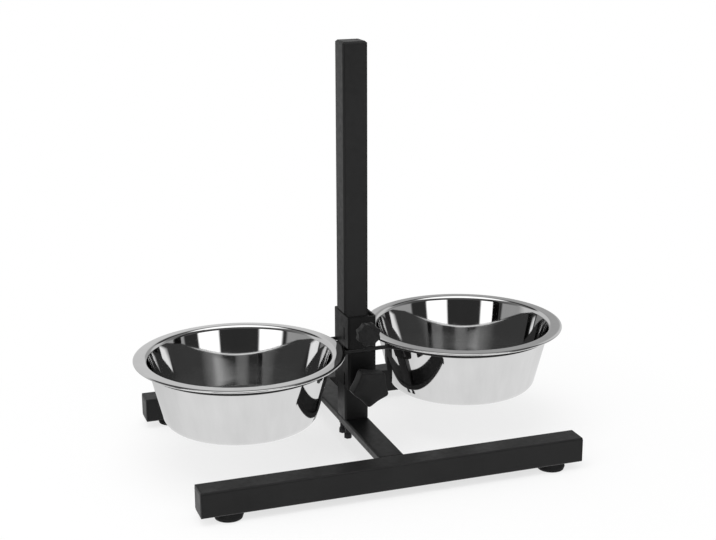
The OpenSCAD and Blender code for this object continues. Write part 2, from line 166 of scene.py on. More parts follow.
class Nodes:
    """Adds and links the nodes of a tree that starts empty."""

    def __init__(self, tree):
        self.tree = tree
        self.tree.nodes.clear()

    def node(self, kind, **settings):
        made = self.tree.nodes.new(kind)
        for key, value in settings.items():
            setattr(made, key, value)
        return made

    def link(self, source, target):
        self.tree.links.new(source, target)

    def put(self, values, sockets):
        """Links sources to sockets, and sets a socket directly where its value is a constant."""
        for value, socket in zip(values, sockets):
            if isinstance(value, bpy.types.NodeSocket):
                self.link(value, socket)
            elif value is not None:
                socket.default_value = value

    def math(self, operation, a, b=None, c=None):
        made = self.node("ShaderNodeMath", operation=operation)
        self.put((a, b, c), made.inputs)
        return made.outputs[0]

    def spread(self, source, low, high, start=0.3, end=0.7, ease="LINEAR"):
        """Maps start..end of a source to low..high."""
        made = self.node("ShaderNodeMapRange", interpolation_type=ease)
        keys = ("Value", "From Min", "From Max", "To Min", "To Max")
        self.put((source, start, end, low, high), [made.inputs[key] for key in keys])
        return made.outputs["Result"]

    def blend(self, share, low, high):
        """Mixes two numbers by a share."""
        made = self.node("ShaderNodeMix", data_type="FLOAT")
        self.put((share, low, high), (made.inputs[0], made.inputs[2], made.inputs[3]))
        return made.outputs[0]

    def tint(self, share, dark, light):
        """Mixes two colours by a share."""
        made = self.node("ShaderNodeMix", data_type="RGBA")
        self.put((share, dark, light), (made.inputs[0], made.inputs[6], made.inputs[7]))
        return made.outputs[2]

    def layer(self, share, first, second):
        """Mixes two shaders by a share."""
        made = self.node("ShaderNodeMixShader")
        self.put((share, first, second), made.inputs)
        return made.outputs[0]

    def glow(self, kind, value, strength):
        """A shader that gives light of a colour."""
        made = self.node(kind)
        self.put((value, strength), (made.inputs["Color"], made.inputs["Strength"]))
        return made.outputs[0]

    def split(self, vector):
        """The X, Y and Z of a vector."""
        made = self.node("ShaderNodeSeparateXYZ")
        self.link(vector, made.inputs[0])
        return made.outputs[0], made.outputs[1], made.outputs[2]

    def reach(self, vector):
        """The length of a vector."""
        made = self.node("ShaderNodeVectorMath", operation="LENGTH")
        self.link(vector, made.inputs[0])
        return made.outputs["Value"]

    def bearing(self, coords):
        """Bearing of a direction, 0 at the back, 0.5 at the front and 1 at the back again, and its height."""
        x, y, up = self.split(coords)
        left, front = self.math("MULTIPLY", x, -1.0), self.math("MULTIPLY", y, -1.0)
        return self.math("MULTIPLY_ADD", self.math("ARCTAN2", left, front), 1 / (2 * math.pi), 0.5), up

    def greys(self, share, stops):
        """Grey levels by the bearing, from stops in degrees from the front towards the left."""
        made = self.node("ShaderNodeValToRGB")
        elements = made.color_ramp.elements
        while len(elements) > 1:
            elements.remove(elements[-1])
        for i, (degrees, grey) in enumerate(stops):
            spot = degrees / 360 + 0.5
            element = elements[0] if i == 0 else elements.new(spot)
            element.position = spot
            element.color = (grey, grey, grey, 1.0)
        self.link(share, made.inputs[0])
        return made.outputs["Color"]


class Finish(Nodes):
    """A procedural material under construction, with its shader and the object's own coordinates."""

    def __init__(self, name):
        self.material = bpy.data.materials.new(name)
        self.material.use_nodes = True
        super().__init__(self.material.node_tree)
        self.shader = self.node("ShaderNodeBsdfPrincipled")
        self.out = self.node("ShaderNodeOutputMaterial")
        self.link(self.shader.outputs["BSDF"], self.out.inputs["Surface"])
        self.coords = self.node("ShaderNodeTexCoord").outputs["Object"]

    def set(self, **values):
        """Gives the shader's inputs their sources or constants."""
        self.put(values.values(), [self.shader.inputs[key.replace("_", " ")] for key in values])

    def paint(self, share, value, dark, light):
        """Colours the shader between a darker and a lighter tone of one colour."""
        self.set(Base_Color=self.tint(share, shaded(value, dark), shaded(value, light)))

    def noise(self, scale, detail=3.0, rough=0.5, vector=None):
        made = self.node("ShaderNodeTexNoise")
        keys = ("Scale", "Detail", "Roughness", "Vector")
        self.put((scale, detail, rough, vector or self.coords), [made.inputs[key] for key in keys])
        return made.outputs["Fac"]

    def lines(self, along, scale, detail=3.0):
        """Fine lines that vary along one measure only."""
        made = self.node("ShaderNodeTexNoise", noise_dimensions="1D")
        self.put((along, scale, detail), [made.inputs[key] for key in ("W", "Scale", "Detail")])
        return made.outputs["Fac"]

    def cells(self, scale):
        made = self.node("ShaderNodeTexVoronoi")
        self.put((scale, self.coords), (made.inputs["Scale"], made.inputs["Vector"]))
        return made.outputs["Distance"]

    def bump(self, height, strength, depth, under=None):
        made = self.node("ShaderNodeBump")
        keys = ("Height", "Strength", "Distance", "Normal")
        self.put((height, strength, depth, under), [made.inputs[key] for key in keys])
        return made.outputs["Normal"]


def shaded(value, factor):
    """The colour, lighter or darker by a factor."""
    return tuple(min(1.0, c * factor) for c in value[:3]) + (1.0,)


def powder_coat(name, value, sheen):
    """Satin powder coat: fine orange peel, a slight cloudiness and a few dust specks."""
    finish = Finish(name)
    finish.paint(finish.noise(scale=22.0, detail=4.0), value, dark=0.75, light=1.35)
    finish.set(Roughness=finish.spread(finish.noise(scale=140.0), low=0.34, high=0.46))
    peel = finish.bump(finish.noise(scale=1500.0, detail=2.0), strength=0.16, depth=0.00012)
    specks = finish.spread(finish.cells(scale=420.0), low=1.0, high=0.0, start=0.03, end=0.10)
    finish.set(Normal=finish.bump(specks, strength=0.10, depth=0.00008, under=peel))
    finish.set(Specular_IOR_Level=sheen)
    return finish.material


def grained_plastic(name, value, sheen):
    """Moulded plastic with a spark-eroded grain, rubbed a little smoother in patches."""
    finish = Finish(name)
    patch = finish.noise(scale=45.0)
    finish.paint(patch, value, dark=0.85, light=1.3)
    finish.set(Roughness=finish.spread(patch, low=0.32, high=0.46))
    grain = finish.bump(finish.cells(scale=1300.0), strength=0.22, depth=0.00010)
    fine = finish.noise(scale=3200.0, detail=2.0)
    finish.set(Normal=finish.bump(fine, strength=0.10, depth=0.00005, under=grain))
    finish.set(Specular_IOR_Level=sheen)
    return finish.material


def dull_rubber(name, value, sheen):
    """Dull rubber with a dusty bloom."""
    finish = Finish(name)
    bloom = finish.noise(scale=160.0, detail=4.0)
    finish.paint(bloom, value, dark=0.8, light=1.8)
    finish.set(Roughness=finish.spread(bloom, low=0.66, high=0.84))
    finish.set(Normal=finish.bump(finish.noise(scale=1800.0, detail=2.0), strength=0.25, depth=0.0001))
    finish.set(Specular_IOR_Level=sheen)
    return finish.material


def plated_steel(name, value, smooth, rough):
    """Plated or blackened steel with faint spangle and drawing marks."""
    finish = Finish(name)
    finish.paint(finish.cells(scale=260.0), value, dark=0.82, light=1.12)
    finish.set(Roughness=finish.spread(finish.noise(scale=420.0), low=smooth, high=rough))
    finish.set(Normal=finish.bump(finish.noise(scale=900.0, detail=2.0), strength=0.12, depth=0.00006))
    finish.set(Metallic=1.0)
    return finish.material


def polished_steel(name, value, sizes):
    """Polished sheet: mirror walls with a faint ripple, brushed rings low inside, a turned base."""
    finish = Finish(name)
    x, y, height = finish.split(finish.coords)
    made = finish.node("ShaderNodeCombineXYZ")
    finish.put((x, y), made.inputs)
    flat = made.outputs[0]
    radius = finish.reach(flat)

    wall_r = sizes.rim_d / 2 - sizes.rim_w - (sizes.height - sizes.sheet) * math.tan(sizes.slope)
    lean = finish.math("MULTIPLY_ADD", height, -math.tan(sizes.slope), radius)
    within = finish.math("LESS_THAN", lean, wall_r - sizes.sheet / 2)
    lower = finish.spread(height, low=1.0, high=0.0, start=sizes.height * 0.38, end=sizes.height * 0.50)
    brushed = finish.math("MULTIPLY", within, lower)
    base = finish.spread(height, low=1.0, high=0.0, start=0.0012, end=0.0042)

    turned_lines, drawn_lines = finish.lines(radius, scale=1500.0), finish.lines(height, scale=1100.0)
    mirror = finish.spread(finish.noise(scale=30.0), low=0.03, high=0.05)
    wall = finish.blend(brushed, mirror, finish.spread(drawn_lines, low=0.07, high=0.15))
    finish.set(Roughness=finish.blend(base, wall, finish.spread(turned_lines, low=0.16, high=0.27)))

    streaks = finish.math("MULTIPLY", finish.noise(scale=70.0, detail=4.0, rough=0.6, vector=flat), 0.5)
    cloud = finish.math("MULTIPLY_ADD", finish.noise(scale=16.0), 0.5, streaks)
    finish.paint(cloud, value, dark=0.84, light=1.14)

    ripple = finish.bump(finish.noise(scale=34.0, detail=1.0), strength=0.05, depth=0.0006)
    brush = finish.math("MULTIPLY", drawn_lines, brushed)
    rings = finish.bump(brush, strength=0.10, depth=0.00004, under=ripple)
    marks = finish.math("MULTIPLY", turned_lines, base)
    finish.set(Normal=finish.bump(marks, strength=0.18, depth=0.00008, under=rings))
    finish.set(Metallic=1.0)
    return finish.material


def finishes(context):
    """The finishes by the record's slot names, made once, and the clamps' darker coat, a painted shade that
    stands in for the knobs' shadow and dark reflection on the sleeves.
    """
    colours = context.scene.feeder_finishes
    recipes = {
        "black_coat": ("satin_powder_coat", powder_coat, colours.coat, 0.16),
        # Painted shade: the clamps' coat is the tube coat made darker, in place of the knobs' shadow and dark
        # reflection
        "clamp_coat": ("satin_clamp_coat", powder_coat, colours.clamp_coat, 0.10),
        "black_plastic": ("grained_black_plastic", grained_plastic, colours.plastic, 0.11),
        "foot_rubber": ("dull_rubber", dull_rubber, colours.rubber, 0.16),
        "bare_steel": ("zinc_plated_steel", plated_steel, colours.zinc, 0.26, 0.42),
        "black_fastener": ("blackened_steel", plated_steel, colours.black_steel, 0.34, 0.50),
        "polished_steel": ("polished_bowl_steel", polished_steel, colours.steel, context.scene.feeder_bowl),
    }
    return {
        slot: bpy.data.materials.get(name) or make(name, *values)
        for slot, (name, make, *values) in recipes.items()
    }


# Meshes

# Radius below which a point of a profile is a pole, and slope above which a path counts as upright
POLE_R = 1e-7
UPRIGHT = 0.9


def new_piece(name, mesh, body, material, place=None):
    """Links a mesh as a piece that moves with a body."""
    piece = bpy.data.objects.new(name, mesh)
    bpy.context.scene.collection.objects.link(piece)
    mesh.materials.append(material)
    if place is not None:
        piece.matrix_world = place
    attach(piece, body)
    return piece


def dress(nodes, material):
    """Gives carried-over solids their finish."""
    for name in nodes:
        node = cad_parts[name]
        node.data.materials.clear()
        node.data.materials.append(material)


def keep_from_mirrors(nodes):
    """Leaves carried-over solids out of the reflections."""
    for name in nodes:
        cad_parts[name].visible_glossy = False


def finished_mesh(name, bm, sharp):
    """Turns the work mesh into a mesh with smooth faces and sharp edges above an angle in degrees."""
    bmesh.ops.recalc_face_normals(bm, faces=bm.faces)
    mesh = bpy.data.meshes.new(name)
    bm.to_mesh(mesh)
    bm.free()
    mesh.shade_smooth()
    mesh.set_sharp_from_angle(angle=math.radians(sharp))
    return mesh


def bridge(bm, a, b):
    """Faces between two rows of vertices round an axis; a row of one vertex is a pole."""
    steps = max(len(a), len(b))
    for i in range(steps):
        j = (i + 1) % steps
        corners = [a[i % len(a)], a[j % len(a)], b[j % len(b)], b[i % len(b)]]
        seen = []
        for v in corners:
            if v not in seen:
                seen.append(v)
        if len(seen) > 2:
            bm.faces.new(seen)


def closed_bar(name, bm, rows, sharp):
    """A bar from rows of vertices along it, with closed ends."""
    for a, b in zip(rows, rows[1:]):
        bridge(bm, a, b)
    bm.faces.new(rows[0])
    bm.faces.new(rows[-1])
    return finished_mesh(name, bm, sharp)


def turned(name, profile, segments, sharp, inset=None):
    """A mesh turned about Z from points (radius, height); inset(angle, k) draws the k-th point in."""
    bm = bmesh.new()
    last = None
    for k, (r, z) in enumerate(profile):
        if r < POLE_R:
            row = [bm.verts.new((0.0, 0.0, z))]
        else:
            row = []
            for i in range(segments):
                a = 2 * math.pi * i / segments
                reach = r - (inset(a, k) if inset else 0.0)
                row.append(bm.verts.new((reach * math.cos(a), reach * math.sin(a), z)))
        if last:
            bridge(bm, last, row)
        last = row
    return finished_mesh(name, bm, sharp)


def swept(name, path, radii, sides):
    """A round bar along a path, with a radius for each of its points."""
    bm = bmesh.new()
    rows = []
    up = None
    for i, point in enumerate(path):
        ahead = (path[min(i + 1, len(path) - 1)] - path[max(i - 1, 0)]).normalized()
        if up is None:
            up = Vector((0, 0, 1)) if abs(ahead.z) < UPRIGHT else Vector((1, 0, 0))
        up = (up - ahead * up.dot(ahead)).normalized()
        side = ahead.cross(up)
        row = []
        for k in range(sides):
            a = 2 * math.pi * k / sides
            row.append(bm.verts.new(point + (side * math.cos(a) + up * math.sin(a)) * radii[i]))
        rows.append(row)
    return closed_bar(name, bm, rows, sharp=60.0)


def arc(mid, r, start, end, steps):
    """Points on an arc in a plane, in degrees."""
    angles = [math.radians(start + (end - start) * i / steps) for i in range(steps + 1)]
    return [(mid[0] + r * math.cos(a), mid[1] + r * math.sin(a)) for a in angles]


def rounded(a, b, c, r, steps):
    """Points of the arc that rounds the corner b between a and c."""
    a, b, c = Vector(a), Vector(b), Vector(c)
    u, v = (a - b).normalized(), (c - b).normalized()
    half = math.acos(max(-1.0, min(1.0, u.dot(v)))) / 2
    mid = b + (u + v).normalized() * r / math.sin(half)
    p = b + u * r / math.tan(half) - mid
    q = b + v * r / math.tan(half) - mid
    start = math.atan2(p.y, p.x)
    sweep = (math.atan2(q.y, q.x) - start + 3 * math.pi) % (2 * math.pi) - math.pi
    angles = [start + sweep * i / steps for i in range(steps + 1)]
    return [(mid.x + r * math.cos(a), mid.y + r * math.sin(a)) for a in angles]


def between(a, b, steps):
    """Points inside the straight run from a to b."""
    return [tuple(p + (q - p) * i / steps for p, q in zip(a, b)) for i in range(1, steps)]


def straight_runs(corners, steps):
    """Points along straight runs from corner to corner."""
    path = []
    for a, b in zip(corners, corners[1:]):
        path += [a.lerp(b, i / steps) for i in range(steps)]
    return path + [corners[-1]]


# Pieces

# Where the curl of a rim's rolled edge ends, in degrees
HEM_END = -165.0


def sheet_line(sizes, depth):
    """A bowl's sheet from the axis out to the corner of its rim, at a depth in from its outer face."""
    rim_r = sizes.rim_d / 2
    tan, cos = math.tan(sizes.slope), math.cos(sizes.slope)
    under = sizes.height - sizes.sheet
    foot = rim_r - sizes.rim_w - under * tan - depth / cos
    level = under + depth
    axis, base = (0.0, depth), (foot + depth * tan, depth)
    shoulder = (foot + level * tan, level)
    edge = (rim_r, level - (rim_r - shoulder[0]) * math.tan(sizes.rim_fall))
    corner = rounded(axis, base, shoulder, sizes.base_corner - depth, steps=16)
    brow = rounded(base, shoulder, edge, sizes.rim_corner + depth, steps=16)
    floor_steps = 12
    floor = [(corner[0][0] * i / floor_steps, depth) for i in range(floor_steps)]
    return floor + corner + between(corner[-1], brow[0], steps=10) + brow


def bowl_profile(sizes):
    """Closed outline of a bowl: the inside, the rim with its rolled edge, and back under it to the base."""
    bead_r, roll_r, fall = sizes.bead_d / 2, sizes.roll_r, sizes.rim_fall
    inside, outside = sheet_line(sizes, sizes.sheet), sheet_line(sizes, 0.0)
    start = Vector(inside[-1])
    first = Vector((math.sin(fall), math.cos(fall)))
    last = Vector((math.sin(sizes.roll_fall), math.cos(sizes.roll_fall)))
    reach = sizes.rim_d / 2 - bead_r - (roll_r - bead_r) * last.x + roll_r * first.x
    end = Vector((reach, start.y - (reach - start.x) * math.tan(fall)))
    roll_mid = end - first * roll_r
    bead_mid = roll_mid + last * (roll_r - bead_r)
    top, low = 90 - math.degrees(fall), 90 - math.degrees(sizes.roll_fall)
    rim = straight_runs([start, end], steps=8)[1:-1]
    rim += arc(roll_mid, roll_r, top, low, steps=10)
    curl = arc(bead_mid, bead_r, low, HEM_END, steps=26)[1:]
    back = arc(bead_mid, bead_r - sizes.sheet, HEM_END, low, steps=16)
    back += arc(roll_mid, roll_r - sizes.sheet, low, top, steps=6)[1:]
    under = straight_runs([Vector(back[-1]), Vector(outside[-1])], steps=8)[1:-1]
    return inside + rim + curl + back + under + list(reversed(outside))


def ring_path(sizes):
    """Middle line of the wire frame's right half, from the front weld round the ring to the rear weld."""
    n, rho, r, h = sizes.neck_half, sizes.bend_r, sizes.ring_r, sizes.ring_x
    bend_x = h - math.sqrt((r + rho) ** 2 - (n + rho) ** 2)
    turn = math.degrees(math.atan2(n + rho, h - bend_x))
    neck_steps = 16
    neck = [(bend_x * i / neck_steps, -n) for i in range(neck_steps)]
    bend = arc((bend_x, -n - rho), rho, 90, turn, steps=20)
    ring = arc((h, 0.0), r, 180 + turn, 540 - turn, steps=150)
    front = neck + bend + ring[1:-1]
    half = front + [(x, -y) for x, y in reversed(neck + bend)]
    return [Vector((x, y, 0.0)) for x, y in half]


def weld_bead(i):
    """Radius of a weld's bead at its i-th point, with the slight ripple of a hand weld."""
    radius, wave, drift = 0.0013, 0.0003, 0.0002
    return radius + wave * math.sin(i * 1.9) + drift * math.sin(i * 0.7)


def threaded_rod(name, d, pitch, long):
    """A screw along Z with a real helical thread and chamfered ends."""
    around, per_turn = 28, 8
    depth, chamfer = 0.55 * pitch, 0.0009
    steepness, root = 1.35, 0.12
    last = int(long / pitch * per_turn)
    bm = bmesh.new()
    rows = []
    for k in range(last + 1):
        z = long * k / last
        end = min(z, long - z)
        row = []
        for i in range(around):
            share = (z / pitch - i / around) % 1.0
            ridge = min(1.0, max(0.0, steepness * (1 - abs(2 * share - 1)) - root))
            r = min(d / 2 - depth * (1 - ridge), d / 2 - max(0.0, chamfer - end))
            a = 2 * math.pi * i / around
            row.append(bm.verts.new((r * math.cos(a), r * math.sin(a), z)))
        rows.append(row)
    return closed_bar(name, bm, rows, sharp=50.0)


def lobe_inset(a, d, lobes, dip, tip_r):
    """How far a knob's outline lies inside its full circle at an angle: round tips, nearly straight runs."""
    half = math.pi / lobes
    core = d / 2 - tip_r
    flat = core * math.cos(half) + tip_r
    off = (a + math.pi / 2) % (2 * half)
    off = min(off, 2 * half - off)
    if off < half - math.atan2(core * math.sin(half), flat):
        reach = core * math.cos(off) + math.sqrt(max(0.0, tip_r ** 2 - (core * math.sin(off)) ** 2))
    else:
        reach = flat / math.cos(half - off)
    return d / 2 - reach + dip * (1 - math.cos(lobes * off)) / 2


def lobed_knob(name, d, lobes, dip, tip_r, depth, hub_r, hub_l, bore_r, bore_l):
    """A moulded knob along Z: a hub with a blind bore, a lobed head with soft edges, and a crowned face."""
    r, top = d / 2, hub_l + depth
    bore_lip, hub_lip, back_r, crown = 0.0004, 0.0006, 0.0016, 0.0018
    soft = min(0.0030, depth * 0.2)
    soft_h = soft * 0.75
    side_top = top - crown - soft_h
    # Each point has its radius, its height and its share of the lobes' inset
    profile = [(0.0, bore_l, 0.0), (bore_r, bore_l, 0.0), (bore_r, bore_lip, 0.0)]
    profile += [(bore_r + bore_lip, 0.0, 0.0), (hub_r - hub_lip, 0.0, 0.0), (hub_r, hub_lip, 0.0)]
    profile += [(hub_r, hub_l - hub_lip, 0.0), (hub_r + hub_lip, hub_l, 0.0)]
    profile += [(hub_r + (r - hub_r) * 0.5, hub_l, 0.2)]
    back = arc((r - back_r, hub_l + back_r), back_r, -90, 0, steps=6)
    profile += [(x, z, 1.0) for x, z in back + between((r, hub_l + back_r), (r, side_top), steps=4)]
    for i in range(9):
        a = math.pi / 2 * i / 8
        profile.append((r - soft * (1 - math.cos(a)), side_top + soft_h * math.sin(a), 1.0))
    for i in range(1, 11):
        share = 1 - i / 10
        profile.append(((r - soft) * share, top - crown * share ** 2.4, share ** 3))

    def inset(a, k):
        return profile[k][2] * lobe_inset(a, d, lobes, dip, tip_r)

    return turned(name, [(x, z) for x, z, _ in profile], lobes * 40, 32.0, inset)


def facing_front(y, z):
    """Place that turns a piece made along Z to point to the front, from a spot in the post's middle plane."""
    return Matrix.Translation((0, y, z)) @ Matrix.Rotation(math.radians(90), 4, "X")


# Operators, one for each piece or group of like pieces


class FEEDER_OT_tubes(bpy.types.Operator):
    """Coats the bars, the crossbar and the post, and adds the crossbar's welds"""

    bl_idname = "feeder.tubes"
    bl_label = "Tubes and welds"

    def execute(self, context):
        coat = finishes(context)["black_coat"]
        dress(("front_bar", "rear_bar", "crossbar", "post"), coat)
        keep_from_mirrors(["front_bar"])
        low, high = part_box("crossbar")
        out, inward, drop = 0.0006, 0.0005, 0.003
        left, right = low.x - out, high.x + out
        under, upper = low.z - out, high.z - drop
        for end, y in (("front", low.y + inward), ("rear", high.y - inward)):
            spots = ((left, upper), (left, under), (right, under), (right, upper))
            path = straight_runs([Vector((x, y, z)) for x, z in spots], steps=26)
            radii = [weld_bead(i) for i in range(len(path))]
            mesh = swept(f"crossbar_weld_{end}", path, radii, sides=10)
            new_piece(f"crossbar_weld_{end}", mesh, "base", coat)
        return {"FINISHED"}


class FEEDER_OT_caps_and_feet(bpy.types.Operator):
    """Finishes the end caps, the post's cap and the feet"""

    bl_idname = "feeder.caps_and_feet"
    bl_label = "Caps and feet"

    def execute(self, context):
        made = finishes(context)
        sides = [f"{a}_{b}" for a in ("front", "rear") for b in ("left", "right")]
        dress([f"{s}_end_cap" for s in sides] + ["post_cap"], made["black_plastic"])
        dress([f"{s}_foot" for s in sides], made["foot_rubber"])
        keep_from_mirrors([f"front_{s}_{part}" for s in ("left", "right") for part in ("end_cap", "foot")])
        return {"FINISHED"}


class FEEDER_OT_fastenings(bpy.types.Operator):
    """Finishes the plate, studs, washers and nuts in the foot of the post"""

    bl_idname = "feeder.fastenings"
    bl_label = "Post fastenings"

    def execute(self, context):
        made = finishes(context)
        dress(("post_foot_plate", "post_studs"), made["bare_steel"])
        dress(("post_washers", "post_cap_nuts"), made["black_fastener"])
        return {"FINISHED"}


class FEEDER_OT_clamps(bpy.types.Operator):
    """Finishes the two sleeves with their weld nuts and shoes"""

    bl_idname = "feeder.clamps"
    bl_label = "Clamp sleeves"

    def execute(self, context):
        made = finishes(context)
        coated = ("lower_sleeve", "upper_sleeve", "lower_shoe", "upper_shoe")
        # Painted shade: the sleeves and shoes get the darker coat in place of the knobs' shadow and dark
        # reflection
        dress(coated, made["clamp_coat"])
        dress(("lower_nut", "upper_nut"), made["bare_steel"])
        keep_from_mirrors(["upper_sleeve", "upper_nut", "upper_shoe"])
        return {"FINISHED"}


class FEEDER_OT_screws(bpy.types.Operator):
    """Cuts the thread of the two clamp screws"""

    bl_idname = "feeder.screws"
    bl_label = "Clamp screws"

    def execute(self, context):
        sizes = context.scene.feeder_screws
        steel = finishes(context)["bare_steel"]
        for side in ("lower", "upper"):
            d, pitch = (getattr(sizes, f"{side}_{key}") for key in ("d", "pitch"))
            low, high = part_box(f"{side}_stud")
            mesh = threaded_rod(f"{side}_screw_thread", d, pitch, high.y - low.y)
            place = facing_front(high.y, (low.z + high.z) / 2)
            piece = new_piece(f"{side}_screw_thread", mesh, f"{side}_grip", steel, place)
            piece.visible_glossy = side == "lower"
            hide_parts(f"{side}_stud")
        return {"FINISHED"}


class FEEDER_OT_knobs(bpy.types.Operator):
    """Moulds the two lobed knobs"""

    bl_idname = "feeder.knobs"
    bl_label = "Knobs"

    def execute(self, context):
        sizes = context.scene.feeder_screws
        plastic = finishes(context)["black_plastic"]
        for side in ("lower", "upper"):
            keys = ("knob_d", "d", "lobes", "dip", "turn")
            knob_d, screw_d, lobes, dip, turn = (getattr(sizes, f"{side}_{key}") for key in keys)
            low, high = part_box(f"{side}_knob")
            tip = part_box(f"{side}_stud")[0].y
            mesh = lobed_knob(
                f"{side}_knob_head", knob_d, lobes, dip, sizes.lobe_r,
                depth=high.y - low.y - sizes.hub_l,
                hub_r=screw_d / 2 + sizes.hub_wall,
                hub_l=sizes.hub_l,
                bore_r=screw_d / 2 + sizes.bore_play,
                bore_l=high.y - tip + sizes.bore_play,
            )
            place = facing_front(high.y, middle(f"{side}_stud").z) @ Matrix.Rotation(-turn, 4, "Z")
            piece = new_piece(f"{side}_knob_head", mesh, f"{side}_grip", plastic, place)
            piece.visible_glossy = side == "lower"
            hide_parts(f"{side}_knob")
        return {"FINISHED"}


class FEEDER_OT_wire_frame(bpy.types.Operator):
    """Bends the two halves of the wire frame and swells them at their welds"""

    bl_idname = "feeder.wire_frame"
    bl_label = "Wire frame"

    def execute(self, context):
        sizes = context.scene.feeder_wire
        coat = finishes(context)["black_coat"]
        path = ring_path(sizes)
        run = [0.0]
        for a, b in zip(path, path[1:]):
            run.append(run[-1] + (b - a).length)
        radii = []
        for s in run:
            near = min(s, run[-1] - s)
            swell = sizes.weld_swell * math.exp(-((near / sizes.weld_l) ** 2))
            radii.append(sizes.wire_d / 2 * (1 + swell))
        mid = (middle("left_ring") + middle("right_ring")) / 2
        place = Matrix.Translation(mid) @ Matrix.Rotation(sizes.turn, 4, "Z")
        for side, flip in (("right", 1), ("left", -1)):
            half = [Vector((flip * p.x, p.y, p.z)) for p in path]
            mesh = swept(f"{side}_ring_wire", half, radii, sides=24)
            piece = new_piece(f"{side}_ring_wire", mesh, "wire_frame", coat, place)
            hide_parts(f"{side}_ring")
        return {"FINISHED"}


class FEEDER_OT_bowls(bpy.types.Operator):
    """Spins the two bowls with their rolled rims"""

    bl_idname = "feeder.bowls"
    bl_label = "Bowls"

    def execute(self, context):
        sizes = context.scene.feeder_bowl
        steel = finishes(context)["polished_steel"]
        for side in ("left", "right"):
            low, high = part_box(f"{side}_bowl")
            mesh = turned(f"{side}_bowl_shell", bowl_profile(sizes), sizes.segments, sharp=70.0)
            place = Matrix.Translation(((low.x + high.x) / 2, (low.y + high.y) / 2, low.z))
            piece = new_piece(f"{side}_bowl_shell", mesh, f"{side}_dish", steel, place)
            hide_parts(f"{side}_bowl")
        return {"FINISHED"}


# Studio, with bearings in degrees from the front towards the left and grey levels from 0 to 1

SURROUND_R = 1.12
SURROUND_H = 1.02
PANEL_H = 0.47
PANEL_SOFT = 0.03
TOP_FADE, TOP_CLEAR = 0.16, 0.01
STUDIO_GLOW = 1.7
EVEN_LIGHT = 0.62
PALE, GREY, DARK = 1.0, 0.25, 0.02
PANEL_EDGES = (
    (-58.0, GREY, DARK),
    (-35.4, DARK, PALE),
    (-5.4, PALE, DARK),
    (46.0, DARK, PALE),
    (75.0, PALE, DARK),
    (81.0, DARK, GREY),
)
PANEL_BLUR = 1.2
REAR_RIGHT = [(-180, 0.45), (-164, 0.45), (-157, 0.26), (-138, 0.26), (-130, 0.45), (-112, 0.45)]
REAR_LEFT = [(124, 0.45), (180, 0.45)]
ABOVE_PANELS = [(-100, 0.20), (-60, 0.05), (84, 0.05), (112, 0.20)]
CEILING = [(-180, 0.03), (-176, 0.10), (-168, 0.16), (-152, 0.16), (-144, 0.10), (-138, 0.03), (-118, 0.03)]
CEILING += [(-108, 0.16), (-60, 0.05), (60, 0.05), (140, 0.16), (150, 0.03), (180, 0.03)]
LAMP_START, LAMP_FULL = 0.84, 0.92

# Camera, fitted to the photograph
FOCAL_PX, PHOTO_PX = 1406.84, 716
SENSOR_MM = 36.0
CAMERA_SPOT = (-0.49400, -1.42660, 0.63379)
CAMERA_YAW, CAMERA_PITCH, CAMERA_ROLL = -0.33769, 0.27445, -0.00355


def studio_world(scene):
    """White to the camera, soft even light on the object, a dim ceiling with a lamp in the reflections."""
    world = bpy.data.worlds.new("white_studio")
    scene.world = world
    world.use_nodes = True
    sky = Nodes(world.node_tree)
    share, up = sky.bearing(sky.node("ShaderNodeTexCoord").outputs["Generated"])
    overhead = sky.spread(up, low=0.0, high=1.0, start=LAMP_START, end=LAMP_FULL, ease="SMOOTHSTEP")
    ceiling = sky.tint(overhead, sky.greys(share, CEILING), WHITE)
    rays = sky.node("ShaderNodeLightPath").outputs
    mirrored = sky.glow("ShaderNodeBackground", ceiling, STUDIO_GLOW)
    even = sky.glow("ShaderNodeBackground", WHITE, EVEN_LIGHT)
    white = sky.glow("ShaderNodeBackground", WHITE, 1.0)
    lit = sky.layer(rays["Is Glossy Ray"], even, mirrored)
    clear = sky.math("MAXIMUM", rays["Is Camera Ray"], rays["Is Transmission Ray"])
    out = sky.node("ShaderNodeOutputWorld")
    sky.link(sky.layer(clear, lit, white), out.inputs["Surface"])


def stage_mesh(name, bm, finish):
    """Links a work mesh with its finish, for the stage."""
    mesh = bpy.data.meshes.new(name)
    bm.to_mesh(mesh)
    bm.free()
    mesh.materials.append(finish.material)
    made = bpy.data.objects.new(name, mesh)
    bpy.context.scene.collection.objects.link(made)
    return made


def studio_surround():
    """Pale and dark panels round the stand that only reflections see, as in a photographer's studio."""
    finish = Finish("studio_panels")
    share, up = finish.bearing(finish.coords)
    stops = REAR_RIGHT + [(-100, GREY)]
    for spot, before, after in PANEL_EDGES:
        stops += [(spot - PANEL_BLUR, before), (spot + PANEL_BLUR, after)]
    panels = finish.greys(share, stops + [(112, GREY)] + REAR_LEFT)
    upper = finish.greys(share, REAR_RIGHT + ABOVE_PANELS + REAR_LEFT)
    above = finish.spread(up, low=0.0, high=1.0, start=PANEL_H - PANEL_SOFT, end=PANEL_H + PANEL_SOFT)
    glow = finish.glow("ShaderNodeEmission", finish.tint(above, panels, upper), STUDIO_GLOW)
    ends = {"start": SURROUND_H - TOP_FADE, "end": SURROUND_H - TOP_CLEAR}
    fade = finish.spread(up, low=0.0, high=1.0, **ends)
    open_top = finish.node("ShaderNodeBsdfTransparent").outputs[0]
    finish.link(finish.layer(fade, glow, open_top), finish.out.inputs["Surface"])

    bm = bmesh.new()
    around = 120
    rows = []
    for z in (0.0, SURROUND_H):
        turns = [2 * math.pi * i / around for i in range(around)]
        rows.append([bm.verts.new((SURROUND_R * math.cos(a), SURROUND_R * math.sin(a), z)) for a in turns])
    bridge(bm, rows[0], rows[1])
    surround = stage_mesh("studio_surround", bm, finish)
    surround.visible_camera = False
    surround.visible_diffuse = False
    surround.visible_transmission = False
    surround.visible_shadow = False


